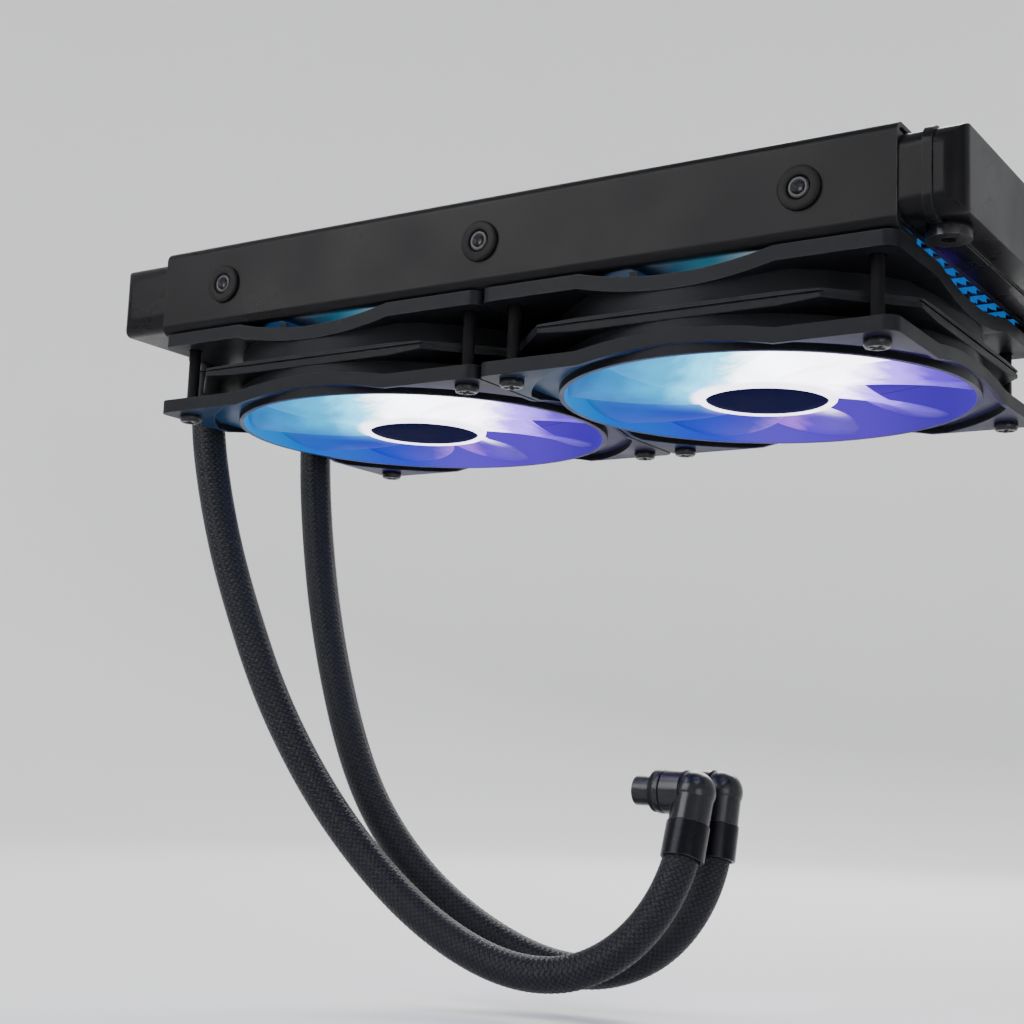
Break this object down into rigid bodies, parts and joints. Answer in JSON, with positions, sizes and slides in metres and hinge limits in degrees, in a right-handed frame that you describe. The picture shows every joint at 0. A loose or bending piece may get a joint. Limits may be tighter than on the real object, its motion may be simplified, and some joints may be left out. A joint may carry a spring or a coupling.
{
  "type": "liquid cooling radiator",
  "caption": "Radiator of a sealed computer cooling loop, with lit fans that blow through its finned core and sleeved hoses that end in swivelling elbows.",
  "frame": {"origin": "middle of the radiator's case-side face, at the centre of the case bolt pattern", "axes": "+X along the radiator away from its hoses, +Y across it to the far side rail, +Z out of the case-side face, towards the case roof"},
  "size_m": [0.276, 0.1236, 0.2254],
  "materials": {
    "core_metal": "satin",
    "tank_paint": "satin",
    "rail_paint": "satin",
    "black_screw": "semi-gloss",
    "seal_rubber": "matte",
    "hose_sleeve": "braided",
    "fitting_plastic": "gloss",
    "collar_metal": "satin",
    "frame_plastic": "matte",
    "board": "gloss",
    "lamp": "gloss",
    "motor_steel": "brushed",
    "copper_wire": "gloss",
    "bronze": "satin",
    "nylon": "matte",
    "magnet": "matte",
    "blade_plastic": "frosted",
    "cap_plastic": "gloss"
  },
  "bodies": {
    "radiator": {"core_tubes": "core_metal", "core_fins": "core_metal", "near_core_plate": "core_metal", "far_core_plate": "core_metal", "port_header": "core_metal", "return_header": "core_metal", "port_tank": "tank_paint", "return_tank": "tank_paint", "tank_divider": "core_metal", "near_side_rail": "rail_paint", "far_side_rail": "rail_paint", "rail_screws": "black_screw", "rail_grommets": "seal_rubber", "fill_plug": "black_screw", "fill_plug_seal": "seal_rubber", "near_port": "fitting_plastic", "far_port": "fitting_plastic", "port_seals": "seal_rubber", "near_hose": "hose_sleeve", "far_hose": "hose_sleeve", "near_hose_collar": "collar_metal", "far_hose_collar": "collar_metal", "near_hose_ferrule": "collar_metal", "far_hose_ferrule": "collar_metal", "near_elbow": "fitting_plastic", "far_elbow": "fitting_plastic", "rear_outlet_frame": "frame_plastic", "rear_inlet_frame": "frame_plastic", "rear_circuit_board": "board", "rear_lights": "lamp", "rear_stator_core": "motor_steel", "rear_coils": "copper_wire", "rear_bearing_sleeve": "bronze", "rear_lead_gland": "seal_rubber", "front_outlet_frame": "frame_plastic", "front_inlet_frame": "frame_plastic", "front_circuit_board": "board", "front_lights": "lamp", "front_stator_core": "motor_steel", "front_coils": "copper_wire", "front_bearing_sleeve": "bronze", "front_lead_gland": "seal_rubber", "fan_screws": "black_screw"},
    "rear_rotor": {"rear_shaft": "motor_steel", "rear_shaft_clip": "nylon", "rear_rotor_yoke": "motor_steel", "rear_magnet_ring": "magnet", "rear_impeller": "blade_plastic", "rear_hub_cap": "cap_plastic"},
    "front_rotor": {"front_shaft": "motor_steel", "front_shaft_clip": "nylon", "front_rotor_yoke": "motor_steel", "front_magnet_ring": "magnet", "front_impeller": "blade_plastic", "front_hub_cap": "cap_plastic"},
    "near_swivel": {"near_spigot": "fitting_plastic", "near_spigot_seal": "seal_rubber"},
    "far_swivel": {"far_spigot": "fitting_plastic", "far_spigot_seal": "seal_rubber"}
  },
  "joints": [
    {"name": "rear_fan_spin", "type": "hinge", "parent": "radiator", "child": "rear_rotor", "pos_m": [-0.06, 0, -0.04], "axis": [0, 0, 1], "continuous": true},
    {"name": "front_fan_spin", "type": "hinge", "parent": "radiator", "child": "front_rotor", "pos_m": [0.06, 0, -0.04], "axis": [0, 0, 1], "continuous": true},
    {"name": "near_elbow_swivel", "type": "hinge", "parent": "radiator", "child": "near_swivel", "pos_m": [0.012, 0.02942, -0.1626], "axis": [1, 0, 0], "continuous": true},
    {"name": "far_elbow_swivel", "type": "hinge", "parent": "radiator", "child": "far_swivel", "pos_m": [0.012, 0.04825, -0.16226], "axis": [1, 0, 0], "continuous": true}
  ]
}
